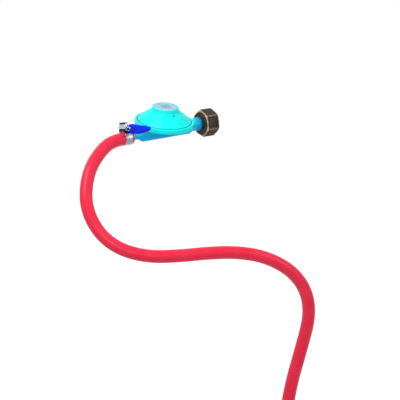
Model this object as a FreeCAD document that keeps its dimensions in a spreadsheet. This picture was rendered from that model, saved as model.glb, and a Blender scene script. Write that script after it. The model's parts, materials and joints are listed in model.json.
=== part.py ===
import FreeCAD, Part
import math
import os
import Sketcher

# Low-pressure gas regulator with its inlet union nut, outlet hose, two worm-drive hose clamps and end fitting.
# Frame: origin at the centre of the union nut's mouth, +X out of the mouth, +Z up along the diaphragm's axis.

os.makedirs("parts", exist_ok=True)
doc = FreeCAD.newDocument("GasRegulator")

# Driving sizes, in millimetres.
dimensions = {
    "rim_radius": 34.0,
    "neck_length": 15.0,
    "rim_base": 5.3,
    "rim_top": 10.9,
    "lip_base": 9.7,
    "seat_height": 7.0,
    "floor_radius": 10.5,
    "floor_height": -0.6,
    "floor_thickness": 2.0,
    "keel_half_width": 5.5,
    "keel_base": 9.0,
    "well_half_width": 3.7,
    "well_base": 6.6,
    "neck_radius": 7.7,
    "outlet_drop": 4.0,
    "outlet_bore": 3.0,
    "barb_pitch": 4.0,
    "nozzle_radius": 3.0,
    "nozzle_bore": 1.1,
    "boss_start": 13.0,
    "cone_top": 23.2,
    "hub_radius": 14.8,
    "hub_top": 27.5,
    "thread_radius": 12.6,
    "cap_radius": 13.2,
    "cap_seat": 25.8,
    "vent_radius": 1.0,
    "vent_offset": 17.3,
    "screw_gap": 0.3,
    "spring_radius": 9.0,
    "wire_radius": 0.7,
    "spring_turns": 4.0,
    "plate_height": 8.4,
    "post_radius": 2.0,
    "pin_radius": 0.8,
    "pin_x": 8.0,
    "pin_z": -4.4,
    "arm_thickness": 1.2,
    "lever_half_width": 2.4,
    "pad_radius": 2.7,
    "nut_flats": 27.0,
    "nut_length": 18.4,
    "nut_bore": 10.0,
    "nut_thread": 9.9,
    "nut_relief": 10.6,
    "nut_hole": 6.25,
    "nut_wall": 5.4,
    "shank_radius": 6.2,
    "shoulder_radius": 8.7,
    "stem_bore": 2.6,
    "hose_radius": 7.5,
    "hose_bore": 4.0,
    "tail_wall": 1.5,
    "band_thickness": 0.75,
    "band_half_width": 4.5,
    "worm_radius": 3.1,
    "housing_wall": 1.1,
    "housing_half_length": 6.5,
    "thumb_key_tip": 50.0,
    "thumb_key_rise": 3.7,
    "thumb_key_drop": 7.0,
    "thumb_key_thickness": 4.6,
    "end_flats": 17.0,
    "end_bore": 6.6,
    "end_thread": 5.6,
}

sheet = doc.addObject("Spreadsheet::Sheet", "Dims")
for row, (name, value) in enumerate(dimensions.items(), start=1):
    sheet.set(f"A{row}", name)
    sheet.set(f"B{row}", str(value))
    sheet.setAlias(f"B{row}", name)
doc.recompute()


class Size:
    """A length that keeps its value and the spreadsheet expression it comes from."""

    def __init__(self, value, text):
        self.value = value
        self.text = text

    def __add__(self, other):
        other = asSize(other)
        return Size(self.value + other.value, f"({self.text} + {other.text})")

    def __sub__(self, other):
        other = asSize(other)
        return Size(self.value - other.value, f"({self.text} - {other.text})")

    def __mul__(self, factor):
        return Size(self.value * factor, f"({self.text} * {factor})")

    def __neg__(self):
        return Size(-self.value, f"(-1 * {self.text})")


def asSize(item):
    if isinstance(item, Size):
        return item
    return Size(float(item), f"({float(item)})")


size = {name: Size(value, f"Dims.{name}") for name, value in dimensions.items()}
nodes = []

# Sizes that follow from the driving ones.
rim = size["rim_radius"]
lipRadius = rim - 2.6
seatRadius = rim - 1.6
bowlRadius = rim - 6.0
coneRadius = rim - 3.1
keelEnd = rim - 2.0
plateRadius = rim - 15.0
neckEnd = rim + size["neck_length"]
discX = -(neckEnd + size["nut_length"] + 0.6)
tailRadius = size["hose_bore"] - 0.1
tailBore = tailRadius - size["tail_wall"]
bandRadius = size["hose_radius"] + 0.05 + size["band_thickness"]
housingRadius = size["worm_radius"] + size["housing_wall"]
wormOffset = bandRadius + housingRadius + 0.15


def newBody(label):
    body = doc.addObject("PartDesign::Body", "Body_" + label)
    body.Label = label
    nodes.append(body)
    return body


def originPlane(body, role):
    for feature in body.Origin.OriginFeatures:
        if feature.Role == role:
            return feature
    raise ValueError(role)


def newSketch(body, name, role="XZ_Plane", rise=0.0, lift=0.0):
    """A sketch on one of the body's planes; rise moves it along its own second axis, lift along its normal."""
    sketch = body.newObject("Sketcher::SketchObject", name)
    sketch.AttachmentSupport = [(originPlane(body, role), "")]
    sketch.MapMode = "FlatFace"
    rise = asSize(rise)
    lift = asSize(lift)
    sketch.AttachmentOffset = FreeCAD.Placement(FreeCAD.Vector(0, rise.value, lift.value), FreeCAD.Rotation())
    sketch.setExpression("AttachmentOffset.Base.y", rise.text)
    sketch.setExpression("AttachmentOffset.Base.z", lift.text)
    return sketch


def drawOutline(sketch, points):
    """A closed outline whose corners are all held by distances from the sketch's origin."""
    corners = [(asSize(x), asSize(y)) for x, y in points]
    vectors = [FreeCAD.Vector(x.value, y.value, 0) for x, y in corners]
    count = len(vectors)
    first = sketch.GeometryCount
    for index in range(count):
        sketch.addGeometry(Part.LineSegment(vectors[index], vectors[(index + 1) % count]), False)
    for index in range(count):
        following = first + (index + 1) % count
        sketch.addConstraint(Sketcher.Constraint("Coincident", first + index, 2, following, 1))
    for index, (x, y) in enumerate(corners):
        line = first + index
        for kind, length in (("DistanceX", x), ("DistanceY", y)):
            number = sketch.addConstraint(Sketcher.Constraint(kind, -1, 1, line, 1, length.value))
            sketch.setExpression(f"Constraints[{number}]", length.text)


def drawCircle(sketch, x, y, radius):
    x, y, radius = asSize(x), asSize(y), asSize(radius)
    circle = sketch.addGeometry(Part.Circle(FreeCAD.Vector(x.value, y.value, 0), FreeCAD.Vector(0, 0, 1), radius.value))
    for kind, length in (("DistanceX", x), ("DistanceY", y)):
        number = sketch.addConstraint(Sketcher.Constraint(kind, -1, 1, circle, 3, length.value))
        sketch.setExpression(f"Constraints[{number}]", length.text)
    number = sketch.addConstraint(Sketcher.Constraint("Radius", circle, radius.value))
    sketch.setExpression(f"Constraints[{number}]", radius.text)


def turn(body, name, points, axis="V_Axis", cut=False, rise=0.0):
    """Revolves an outline about the sketch's own axis, as added or removed material."""
    sketch = newSketch(body, name + "Sketch", rise=rise)
    drawOutline(sketch, points)
    feature = body.newObject("PartDesign::Groove" if cut else "PartDesign::Revolution", name)
    feature.Profile = sketch
    feature.ReferenceAxis = (sketch, [axis])
    feature.Angle = 360.0
    sketch.Visibility = False
    return feature


def extrude(body, name, points, length, cut=False, role="XZ_Plane"):
    """Extrudes an outline evenly to both sides of its plane."""
    sketch = newSketch(body, name + "Sketch", role)
    drawOutline(sketch, points)
    feature = body.newObject("PartDesign::Pocket" if cut else "PartDesign::Pad", name)
    feature.Profile = sketch
    feature.Midplane = True
    length = asSize(length)
    feature.Length = length.value
    feature.setExpression("Length", length.text)
    return feature


def drill(body, name, x, y, radius, length, role="XY_Plane", lift=0.0, both=False):
    """Removes a round hole that starts at the lifted plane and runs against its normal."""
    sketch = newSketch(body, name + "Sketch", role, lift=lift)
    drawCircle(sketch, x, y, radius)
    feature = body.newObject("PartDesign::Pocket", name)
    feature.Profile = sketch
    feature.Midplane = both
    length = asSize(length)
    feature.Length = length.value
    feature.setExpression("Length", length.text)
    return feature


def place(body, base, rotation=None):
    rotation = rotation or FreeCAD.Rotation()
    base = [asSize(item) for item in base]
    body.Placement = FreeCAD.Placement(FreeCAD.Vector(*[item.value for item in base]), rotation)
    for letter, item in zip("xyz", base):
        body.setExpression(f"Placement.Base.{letter}", item.text)


disc = (discX, 0.0, 0.0)
outletHeight = -size["outlet_drop"]


# Lower body: dished bowl with the rolled rim, the outlet keel below it and the inlet neck on the right.
casting = newBody("body_casting")
floor = size["floor_height"]
under = size["floor_height"] - size["floor_thickness"]
rimInner = rim - 1.8
turn(casting, "Bowl", [
    (0.0, under),
    (size["floor_radius"] + 0.6, under),
    (rimInner, size["rim_base"] - 0.3),
    (rim - 0.6, size["rim_base"]),
    (rim, size["rim_base"] + 0.7),
    (rim, size["rim_top"] - 0.6),
    (rim - 0.6, size["rim_top"]),
    (lipRadius, size["rim_top"]),
    (lipRadius, size["lip_base"]),
    (seatRadius, size["lip_base"]),
    (seatRadius, size["seat_height"]),
    (bowlRadius, size["seat_height"]),
    (bowlRadius, size["seat_height"] - 0.8),
    (size["floor_radius"], floor),
    (0.0, floor),
])
extrude(casting, "Keel", [
    (-keelEnd, -size["keel_base"]),
    (rim, -size["neck_radius"]),
    (rim, 2.0),
    (size["floor_radius"], under + 0.7),
    (-size["floor_radius"], under + 0.7),
    (-keelEnd + 1.2, size["rim_base"]),
    (-keelEnd, size["rim_base"] - 0.4),
], size["keel_half_width"] * 2)
turn(casting, "Neck", [
    (size["boss_start"], 0.0),
    (size["boss_start"], 5.4),
    (bowlRadius - 1.0, 5.4),
    (seatRadius, size["seat_height"] - 0.3),
    (seatRadius + 0.4, size["neck_radius"] + 0.3),
    (rim + 2.0, size["neck_radius"] + 0.3),
    (rim + 5.0, size["neck_radius"] - 0.4),
    (neckEnd - 6.2, size["neck_radius"] - 0.4),
    (neckEnd - 6.2, size["neck_radius"] - 1.0),
    (neckEnd - 5.4, size["neck_radius"] - 1.0),
    (neckEnd - 5.4, size["neck_radius"]),
    (neckEnd - 0.6, size["neck_radius"]),
    (neckEnd, size["neck_radius"] - 0.6),
    (neckEnd, 0.0),
], axis="H_Axis")
turn(casting, "InletBore", [
    (size["boss_start"] - 0.5, 0.0),
    (size["boss_start"] - 0.5, size["nozzle_radius"] + 0.03),
    (size["boss_start"] + 7.2, size["nozzle_radius"] + 0.03),
    (size["boss_start"] + 7.2, 2.2),
    (neckEnd - 13.0, 2.2),
    (neckEnd - 13.0, 5.03),
    (neckEnd + 1.0, 5.03),
    (neckEnd + 1.0, 0.0),
], axis="H_Axis", cut=True)
extrude(casting, "LeverWell", [
    (-15.0, -size["well_base"]),
    (size["boss_start"], -size["well_base"]),
    (size["boss_start"], size["seat_height"] + 1.0),
    (-15.0, size["seat_height"] + 1.0),
], size["well_half_width"] * 2, cut=True)
turn(casting, "OutletBore", [
    (-keelEnd - 1.0, 0.0),
    (-keelEnd - 1.0, tailRadius + 0.05),
    (-keelEnd + 10.2, tailRadius + 0.05),
    (-keelEnd + 10.2, size["outlet_bore"]),
    (-14.5, size["outlet_bore"]),
    (-14.5, 0.0),
], axis="H_Axis", cut=True, rise=outletHeight)
extrude(casting, "PinNotch", [
    (size["pin_x"] - size["pin_radius"] - 0.05, size["pin_z"] - size["pin_radius"] - 0.05),
    (size["pin_x"] + size["pin_radius"] + 0.05, size["pin_z"] - size["pin_radius"] - 0.05),
    (size["pin_x"] + size["pin_radius"] + 0.05, size["seat_height"]),
    (size["pin_x"] - size["pin_radius"] - 0.05, size["seat_height"]),
], (size["keel_half_width"] - 0.9) * 2, cut=True)
place(casting, disc)

# Cover: the coned bonnet held under the rolled rim, with the spring tube and the vent hole beside the hub.
cover = newBody("cover")
flangeBase = size["seat_height"] + 1.3
flangeTop = size["lip_base"] - 0.1
tubeOuter = size["thread_radius"] + 1.8
turn(cover, "Bonnet", [
    (bowlRadius, flangeBase),
    (seatRadius - 0.15, flangeBase),
    (seatRadius - 0.15, flangeTop),
    (coneRadius, flangeTop),
    (coneRadius, size["rim_top"] + 0.2),
    (size["hub_radius"] + 0.9, size["cone_top"]),
    (size["hub_radius"] + 0.2, size["cone_top"] + 0.8),
    (size["hub_radius"], size["hub_top"] - 0.8),
    (size["hub_radius"] - 0.6, size["hub_top"]),
    (size["cap_radius"] + 0.1, size["hub_top"]),
    (size["cap_radius"] + 0.1, size["cap_seat"]),
    (size["thread_radius"], size["cap_seat"]),
    (size["thread_radius"], size["cone_top"] - 4.4),
    (tubeOuter, size["cone_top"] - 4.4),
    (tubeOuter, size["cone_top"] - 1.6),
    (bowlRadius, size["rim_top"]),
])
drill(cover, "Vent", 0.0, -size["vent_offset"], size["vent_radius"], 14.0, lift=size["hub_top"])
place(cover, disc)

# Plain disc cap that snaps into the hub over the adjusting screw.
cap = newBody("label_cap")
turn(cap, "Disc", [
    (0.0, size["cap_seat"] + 0.1),
    (size["thread_radius"] - 0.3, size["cap_seat"] + 0.1),
    (size["thread_radius"] - 0.3, size["cap_seat"] - 1.2),
    (size["thread_radius"] - 0.1, size["cap_seat"] - 1.2),
    (size["thread_radius"] - 0.1, size["cap_seat"] + 0.1),
    (size["cap_radius"], size["cap_seat"] + 0.1),
    (size["cap_radius"], size["hub_top"] - 0.4),
    (size["cap_radius"] - 0.5, size["hub_top"] + 0.1),
    (0.0, size["hub_top"] + 0.1),
])
place(cap, disc)

# Adjusting screw: a shallow ring plug with a cross slot and a spigot that centres the spring.
adjuster = newBody("adjusting_screw")
screwTop = size["cap_seat"] - 2.2
screwBase = screwTop - 3.8
turn(adjuster, "Plug", [
    (0.0, screwBase - 1.4),
    (size["spring_radius"] - size["wire_radius"] - 0.4, screwBase - 1.4),
    (size["spring_radius"] - size["wire_radius"] - 0.4, screwBase),
    (size["thread_radius"] - size["screw_gap"], screwBase),
    (size["thread_radius"] - size["screw_gap"], screwTop),
    (0.0, screwTop),
])
extrude(adjuster, "SlotAlong", [
    (-8.0, screwTop - 2.2),
    (8.0, screwTop - 2.2),
    (8.0, screwTop + 1.0),
    (-8.0, screwTop + 1.0),
], 3.0, cut=True)
extrude(adjuster, "SlotAcross", [
    (-8.0, screwTop - 2.2),
    (8.0, screwTop - 2.2),
    (8.0, screwTop + 1.0),
    (-8.0, screwTop + 1.0),
], 3.0, cut=True, role="YZ_Plane")
place(adjuster, disc)

# Regulating spring between the diaphragm plate and the adjusting screw.
spring = newBody("regulating_spring")
springBase = size["plate_height"] + 0.8 + size["wire_radius"] + 0.05
springTop = screwBase - size["wire_radius"] - 0.05
coil = newSketch(spring, "WireSketch")
drawCircle(coil, size["spring_radius"], springBase, size["wire_radius"])
helix = spring.newObject("PartDesign::AdditiveHelix", "Coil")
helix.Profile = coil
helix.ReferenceAxis = (coil, ["V_Axis"])
helix.Mode = "height-turns-angle"
helix.Turns = dimensions["spring_turns"]
helix.setExpression("Turns", "Dims.spring_turns")
helix.Height = (springTop - springBase).value
helix.setExpression("Height", (springTop - springBase).text)
place(spring, disc)

# Diaphragm: clamped bead, rolled fold and flat centre, in one moulding.
diaphragm = newBody("diaphragm")
web = size["plate_height"]
turn(diaphragm, "Sheet", [
    (size["post_radius"] + 0.05, web - 0.85),
    (plateRadius + 1.2, web - 0.85),
    (plateRadius + 3.2, web - 2.1),
    (bowlRadius - 3.0, web - 2.1),
    (bowlRadius - 0.9, web - 1.3),
    (seatRadius - 0.2, web - 1.3),
    (seatRadius - 0.2, web - 0.2),
    (bowlRadius - 1.2, web - 0.2),
    (bowlRadius - 3.4, web - 1.2),
    (plateRadius + 3.4, web - 1.2),
    (plateRadius + 1.3, web - 0.05),
    (size["post_radius"] + 0.05, web - 0.05),
])
place(diaphragm, disc)

# Dished plate on top of the diaphragm, pressed by the spring.
plate = newBody("diaphragm_plate")
turn(plate, "Dish", [
    (size["post_radius"] + 0.05, web),
    (plateRadius - 0.8, web),
    (plateRadius, web + 0.6),
    (plateRadius, web + 1.6),
    (plateRadius - 0.8, web + 1.6),
    (plateRadius - 1.2, web + 0.8),
    (size["post_radius"] + 0.05, web + 0.8),
])
place(plate, disc)

# Stem through the diaphragm: washer flange below it, and the grooved hook that the lever's fork holds.
stem = newBody("diaphragm_stem")
turn(stem, "Post", [
    (0.0, 1.6),
    (size["post_radius"], 1.6),
    (size["post_radius"], 2.6),
    (size["post_radius"] - 0.7, 2.6),
    (size["post_radius"] - 0.7, 4.4),
    (size["post_radius"], 4.4),
    (size["post_radius"], web - 1.8),
    (8.0, web - 1.8),
    (8.0, web - 0.9),
    (size["post_radius"], web - 0.9),
    (size["post_radius"], web + 3.6),
    (0.0, web + 3.6),
])
place(stem, disc)

stemNut = newBody("stem_nut")
turn(stemNut, "Ring", [
    (size["post_radius"] + 0.03, web + 0.85),
    (size["post_radius"] + 1.9, web + 0.85),
    (size["post_radius"] + 1.9, web + 2.7),
    (size["post_radius"] + 1.5, web + 3.1),
    (size["post_radius"] + 0.03, web + 3.1),
])
place(stemNut, disc)

# Cranked lever: fork on the diaphragm stem, pivot boss on the pin, upright fork on the valve pad's holder.
lever = newBody("lever")
arm = size["arm_thickness"]
pinX = size["pin_x"]
pinZ = size["pin_z"]
extrude(lever, "Crank", [
    (-3.0, 3.0),
    (4.4, 3.0),
    (4.4, pinZ - arm * 0.5),
    (pinX + arm * 0.5, pinZ - arm * 0.5),
    (pinX + arm * 0.5, 1.1),
    (pinX - arm * 0.5, 1.1),
    (pinX - arm * 0.5, pinZ + arm * 0.5),
    (arm + 4.4, pinZ + arm * 0.5),
    (arm + 4.4, 4.0),
    (-3.0, 4.0),
], size["lever_half_width"] * 2)
boss = newSketch(lever, "BossSketch")
drawCircle(boss, pinX, pinZ, size["pin_radius"] + 0.7)
bossPad = lever.newObject("PartDesign::Pad", "Boss")
bossPad.Profile = boss
bossPad.Midplane = True
bossPad.Length = dimensions["lever_half_width"] * 2
bossPad.setExpression("Length", "Dims.lever_half_width * 2")
drill(lever, "PinHole", pinX, pinZ, size["pin_radius"] + 0.05, 12.0, role="XZ_Plane", both=True)
extrude(lever, "StemFork", [
    (-4.0, 2.0),
    (2.1, 2.0),
    (2.1, 5.0),
    (-4.0, 5.0),
], (size["post_radius"] - 0.5) * 2, cut=True)
extrude(lever, "PadFork", [
    (pinX - 1.0, -1.6),
    (pinX + 1.0, -1.6),
    (pinX + 1.0, 2.0),
    (pinX - 1.0, 2.0),
], 3.0, cut=True)
place(lever, disc)

pin = newBody("lever_pin")
turn(pin, "Rod", [
    (0.0, -size["keel_half_width"] + 1.0),
    (size["pin_radius"], -size["keel_half_width"] + 1.0),
    (size["pin_radius"], size["keel_half_width"] - 1.0),
    (0.0, size["keel_half_width"] - 1.0),
])
place(pin, (discX + pinX, 0.0, pinZ), FreeCAD.Rotation(FreeCAD.Vector(1, 0, 0), 90))

# Valve: waisted holder that the lever's upright fork carries, rubber pad, and the orifice nozzle it closes.
holder = newBody("pad_holder")
turn(holder, "Spool", [
    (pinX - 1.9, 0.0),
    (pinX - 1.9, 2.3),
    (pinX - 1.0, 2.3),
    (pinX - 1.0, 1.3),
    (pinX + 0.95, 1.3),
    (pinX + 0.95, size["pad_radius"]),
    (pinX + 1.9, size["pad_radius"]),
    (pinX + 1.9, 0.0),
], axis="H_Axis")
place(holder, disc)

pad = newBody("valve_pad")
turn(pad, "Puck", [
    (pinX + 1.95, 0.0),
    (pinX + 1.95, size["pad_radius"] - 0.3),
    (pinX + 3.2, size["pad_radius"] - 0.3),
    (pinX + 3.2, 0.0),
], axis="H_Axis")
place(pad, disc)

nozzle = newBody("inlet_nozzle")
turn(nozzle, "Orifice", [
    (pinX + 3.75, size["nozzle_bore"]),
    (pinX + 3.75, size["nozzle_bore"] + 0.4),
    (size["boss_start"] - 0.2, size["nozzle_radius"] - 0.5),
    (size["boss_start"] - 0.2, size["nozzle_radius"]),
    (size["boss_start"] + 7.0, size["nozzle_radius"]),
    (size["boss_start"] + 7.0, size["nozzle_bore"]),
], axis="H_Axis")
place(nozzle, disc)

# Inlet stem screwed into the neck: its shank carries the union nut and its shoulder holds the seal.
inletStem = newBody("inlet_stem")
shoulderBack = -size["nut_thread"] - 2.8
neckFace = -size["nut_length"] - 0.6
turn(inletStem, "Stem", [
    (neckFace - 12.9, size["stem_bore"]),
    (neckFace - 12.9, 4.7),
    (neckFace - 12.6, 5.0),
    (neckFace + 0.05, 5.0),
    (neckFace + 0.05, size["shank_radius"]),
    (shoulderBack, size["shank_radius"]),
    (shoulderBack, size["shoulder_radius"]),
    (shoulderBack + 2.2, size["shoulder_radius"]),
    (shoulderBack + 2.2, 7.1),
    (shoulderBack + 1.2, 7.1),
    (shoulderBack + 1.2, 3.9),
    (shoulderBack + 2.2, 3.9),
    (shoulderBack + 2.2, size["stem_bore"]),
], axis="H_Axis")

seal = newBody("inlet_seal")
turn(seal, "Ring", [
    (shoulderBack + 1.25, 3.95),
    (shoulderBack + 1.25, 7.05),
    (shoulderBack + 2.4, 7.05),
    (shoulderBack + 2.7, 6.6),
    (shoulderBack + 2.7, 4.4),
    (shoulderBack + 2.4, 3.95),
], axis="H_Axis")

filterCup = newBody("inlet_filter")
turn(filterCup, "Cup", [
    (-18.0, 0.0),
    (-18.0, size["stem_bore"] - 0.03),
    (-11.5, size["stem_bore"] - 0.03),
    (-11.5, 1.8),
    (-17.0, 1.8),
    (-17.0, 0.0),
], axis="H_Axis")


def hexagon(flats, twist):
    """Corners of a hexagon about the sketch's origin, from its size across flats."""
    corners = []
    for index in range(6):
        angle = math.radians(60 * index + twist)
        reach = 1 / math.sqrt(3)
        corners.append((flats * (reach * math.cos(angle)), flats * (reach * math.sin(angle))))
    return corners


def unionNut(label, flats, back, front, hole, wall, relief, bore, thread, twist):
    """Hexagon nut along X with both ends chamfered, a plain hole at the back and a threaded mouth in front."""
    body = newBody(label)
    sketch = newSketch(body, label + "Hex", "YZ_Plane", lift=back)
    drawOutline(sketch, hexagon(flats, twist))
    block = body.newObject("PartDesign::Pad", label + "Block")
    block.Profile = sketch
    block.Length = (front - back).value
    block.setExpression("Length", (front - back).text)
    corner = flats * 0.64
    edge = flats * 0.49
    fall = (corner - edge) * 0.5
    turn(body, label + "BackChamfer", [(back, edge), (back, corner), (back + fall, corner)], "H_Axis", True)
    turn(body, label + "FrontChamfer", [(front, edge), (front, corner), (front - fall, corner)], "H_Axis", True)
    turn(body, label + "Inside", [
        (back - 1.0, 0.0),
        (back - 1.0, hole),
        (back + wall, hole),
        (back + wall, relief),
        (front - thread, relief),
        (front - thread, bore),
        (front + 1.0, bore),
        (front + 1.0, 0.0),
    ], "H_Axis", True)
    return body


unionNut("union_nut", size["nut_flats"], -size["nut_length"], asSize(0.0), size["nut_hole"], size["nut_wall"],
         size["nut_relief"], size["nut_bore"], size["nut_thread"], 70.0)

# Barbed outlet tail pressed into the end of the keel.
tail = newBody("outlet_tail")
tailStart = discX - keelEnd
tailPoints = [
    (tailStart + 10.0, tailBore),
    (tailStart + 10.0, tailRadius),
    (tailStart - 0.05, tailRadius),
    (tailStart - 0.05, tailRadius + 0.7),
    (tailStart - 1.3, tailRadius + 0.7),
    (tailStart - 1.3, tailRadius - 0.3),
    (tailStart - 13.8, tailRadius - 0.3),
]
for index in range(3):
    barb = tailStart - 13.8 - size["barb_pitch"] * index
    tailPoints.append((barb, tailRadius))
    tailPoints.append((barb - size["barb_pitch"], tailRadius - 0.5))
tailPoints.append((tailStart - 13.8 - size["barb_pitch"] * 3, tailBore))
turn(tail, "Tail", tailPoints, axis="H_Axis")
place(tail, (0.0, 0.0, outletHeight))

# Hose centreline: straight runs joined by tangent arcs.
hosePoints = [
    (-112.3, 0.0, -4.0),
    (-132.0, 0.0, -4.0),
    (-153.5, -5.0, -9.0),
    (-181.5, -20.0, -26.0),
    (-198.5, -40.0, -51.0),
    (-200.0, -57.5, -72.5),
    (-191.5, -76.0, -90.5),
    (-173.5, -92.5, -102.0),
    (-148.0, -108.5, -106.5),
    (-117.5, -122.5, -104.5),
    (-87.0, -134.5, -101.0),
    (-57.0, -146.5, -100.0),
    (-28.5, -159.0, -104.5),
    (-3.5, -171.0, -117.0),
    (12.5, -179.0, -133.5),
    (21.5, -184.5, -154.0),
    (23.5, -187.0, -178.5),
    (17.0, -186.0, -213.0),
    (7.0, -185.0, -260.0),
    (5.0, -184.0, -302.0),
    (6.0, -184.0, -351.5),
    (7.0, -184.5, -407.0),
    (6.0, -184.0, -464.0),
    (6.0, -184.0, -520.3),
]
hoseStart = FreeCAD.Vector(tailStart.value - 12.3, 0, outletHeight.value)
hoseShift = hoseStart - FreeCAD.Vector(*hosePoints[0])
hoseSpots = [FreeCAD.Vector(*point) + hoseShift for point in hosePoints]
hoseEnd = hoseSpots[-1]


def centreline(spots):
    """The wire along the points, each corner rounded by an arc that takes 0.45 of its shorter run."""
    edges = []
    radii = []
    start = spots[0]
    for before, corner, after in zip(spots, spots[1:], spots[2:]):
        inward = (corner - before).normalize()
        outward = (after - corner).normalize()
        halfTurn = inward.getAngle(outward) / 2
        reach = 0.45 * min((corner - before).Length, (after - corner).Length)
        radius = reach / math.tan(halfTurn)
        first = corner - inward * reach
        last = corner + outward * reach
        middleWay = (outward - inward).normalize()
        middle = corner + middleWay * (radius / math.cos(halfTurn) - radius)
        edges.append(Part.LineSegment(start, first).toShape())
        edges.append(Part.Arc(first, middle, last).toShape())
        radii.append(radius)
        start = last
    edges.append(Part.LineSegment(start, spots[-1]).toShape())
    return Part.Wire(edges), radii


path, bendRadii = centreline(hoseSpots)
spine = doc.addObject("Part::Feature", "HosePath")
spine.Shape = path


def sweptTube(name, radius):
    """A solid rod along the hose's path."""
    ring = doc.addObject("Part::Circle", name + "Section")
    ring.setExpression("Radius", radius)
    ring.Placement = FreeCAD.Placement(
        hoseStart, FreeCAD.Rotation(FreeCAD.Vector(0, 0, 1), FreeCAD.Vector(-1, 0, 0)))
    rod = doc.addObject("Part::Sweep", name)
    rod.Sections = [ring]
    rod.Spine = (spine, [f"Edge{number + 1}" for number in range(len(path.Edges))])
    rod.Solid = True
    rod.Frenet = False
    return rod


hose = doc.addObject("Part::Cut", "Hose")
hose.Base = sweptTube("HoseOuter", "Dims.hose_radius")
hose.Tool = sweptTube("HoseInner", "Dims.hose_bore")
hose.Label = "hose"
nodes.append(hose)

# Screw frame of a clamp: its Z is the worm's axis, its X points away from the hose.
wormTurn = FreeCAD.Rotation(FreeCAD.Vector(0, 0, 1), FreeCAD.Vector(-1, 0, 0), FreeCAD.Vector(0, -1, 0), "ZXY")


def clamp(prefix, centre, rotation):
    """Worm-drive hose clamp: band, housing, worm screw and flat thumb key."""
    band = newBody(prefix + "_band")
    turn(band, prefix + "Strip", [
        (-size["band_half_width"], size["hose_radius"] + 0.05),
        (-size["band_half_width"], bandRadius - 0.15),
        (-size["band_half_width"] + 0.15, bandRadius),
        (size["band_half_width"] - 0.15, bandRadius),
        (size["band_half_width"], bandRadius - 0.15),
        (size["band_half_width"], size["hose_radius"] + 0.05),
    ], axis="H_Axis")
    band.Placement = FreeCAD.Placement(centre, rotation)
    wormCentre = centre + rotation.multVec(FreeCAD.Vector(0, 0, wormOffset.value))
    wormPlacement = FreeCAD.Placement(wormCentre, rotation.multiply(wormTurn))

    housing = newBody(prefix + "_housing")
    saddleBase = bandRadius - wormOffset + 0.1
    extrude(housing, prefix + "Saddle", [
        (saddleBase, -5.2),
        (-size["worm_radius"] - 0.1, -5.2),
        (-size["worm_radius"] - 0.1, 5.2),
        (saddleBase, 5.2),
    ], size["band_half_width"] * 2 + 0.8)
    turn(housing, prefix + "Barrel", [
        (0.0, -size["housing_half_length"]),
        (housingRadius - 0.3, -size["housing_half_length"]),
        (housingRadius, -size["housing_half_length"] + 0.3),
        (housingRadius, size["housing_half_length"] - 0.3),
        (housingRadius - 0.3, size["housing_half_length"]),
        (0.0, size["housing_half_length"]),
    ])
    turn(housing, prefix + "WormRoom", [
        (0.0, -size["housing_half_length"] + 1.0),
        (size["worm_radius"] + 0.2, -size["housing_half_length"] + 1.0),
        (size["worm_radius"] + 0.2, size["housing_half_length"] + 1.0),
        (0.0, size["housing_half_length"] + 1.0),
    ], cut=True)
    housing.Placement = wormPlacement

    screw = newBody(prefix + "_screw")
    collar = size["housing_half_length"]
    turn(screw, prefix + "Worm", [
        (0.0, -size["housing_half_length"] + 1.3),
        (size["worm_radius"], -size["housing_half_length"] + 1.3),
        (size["worm_radius"], collar + 0.2),
        (housingRadius - 0.2, collar + 0.2),
        (housingRadius - 0.2, collar + 1.0),
        (size["worm_radius"], collar + 1.0),
        (size["worm_radius"], collar + 1.5),
        (housingRadius - 0.4, collar + 1.5),
        (housingRadius - 0.4, collar + 2.2),
        (1.8, collar + 2.2),
        (1.8, collar + 8.0),
        (0.0, collar + 8.0),
    ])
    screw.Placement = wormPlacement

    key = newBody(prefix + "_key")
    rise = size["thumb_key_rise"]
    drop = size["thumb_key_drop"]
    tip = size["thumb_key_tip"]
    extrude(key, prefix + "Leaf", [
        (-drop * 0.86, collar + 2.8),
        (rise * 0.92, collar + 2.8),
        (rise, collar + 6.0),
        (rise * 0.68, tip * 0.6),
        (rise * 0.38, tip * 0.84),
        (rise * 0.16, tip - 2.5),
        (-drop * 0.13, tip),
        (-drop * 0.34, tip - 1.0),
        (-drop * 0.63, tip * 0.88),
        (-drop * 0.9, tip * 0.72),
        (-drop, tip * 0.56),
        (-drop, collar + 6.5),
    ], size["thumb_key_thickness"])
    turn(key, prefix + "Socket", [
        (0.0, collar + 2.0),
        (1.83, collar + 2.0),
        (1.83, collar + 8.1),
        (0.0, collar + 8.1),
    ], cut=True)
    key.Placement = wormPlacement


clamp("clamp", hoseStart - FreeCAD.Vector(7.3, 0, 0), FreeCAD.Rotation(FreeCAD.Vector(1, 0, 0), -19))
downward = FreeCAD.Rotation(FreeCAD.Vector(0, 0, -1), FreeCAD.Vector(1, 0, 0), FreeCAD.Vector(0, -1, 0), "ZXY")
clamp("end_clamp", hoseEnd + FreeCAD.Vector(0, 0, 10.5), downward)

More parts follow.
